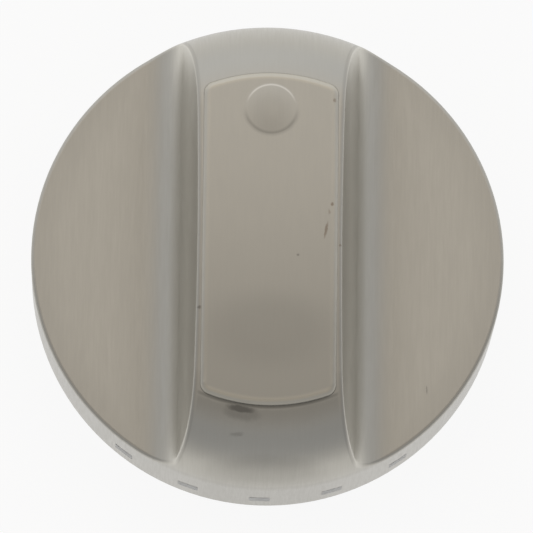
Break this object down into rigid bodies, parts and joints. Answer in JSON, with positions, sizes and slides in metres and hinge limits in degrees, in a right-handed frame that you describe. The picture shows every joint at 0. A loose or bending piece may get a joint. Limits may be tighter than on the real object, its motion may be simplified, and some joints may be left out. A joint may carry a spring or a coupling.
{
  "type": "stove knob",
  "caption": "Round brushed steel stove knob with a raised grip bar, a pointer pip and a sprung D-shaped stem socket.",
  "frame": {"origin": "centre of the rim's plane, where the knob's back rests", "axes": "+Z out of the front along the stem's axis, +Y along the grip bar towards the pointer pip"},
  "size_m": [0.05, 0.05, 0.0203],
  "materials": {
    "brushed_shell": "brushed along the grip bar",
    "black_moulding": "matte",
    "bright_steel": "plain rolled"
  },
  "bodies": {
    "root": {"steel_shell": "brushed_shell", "moulded_core": "black_moulding", "hub_band": "bright_steel", "stem_spring": "bright_steel"}
  },
  "joints": []
}
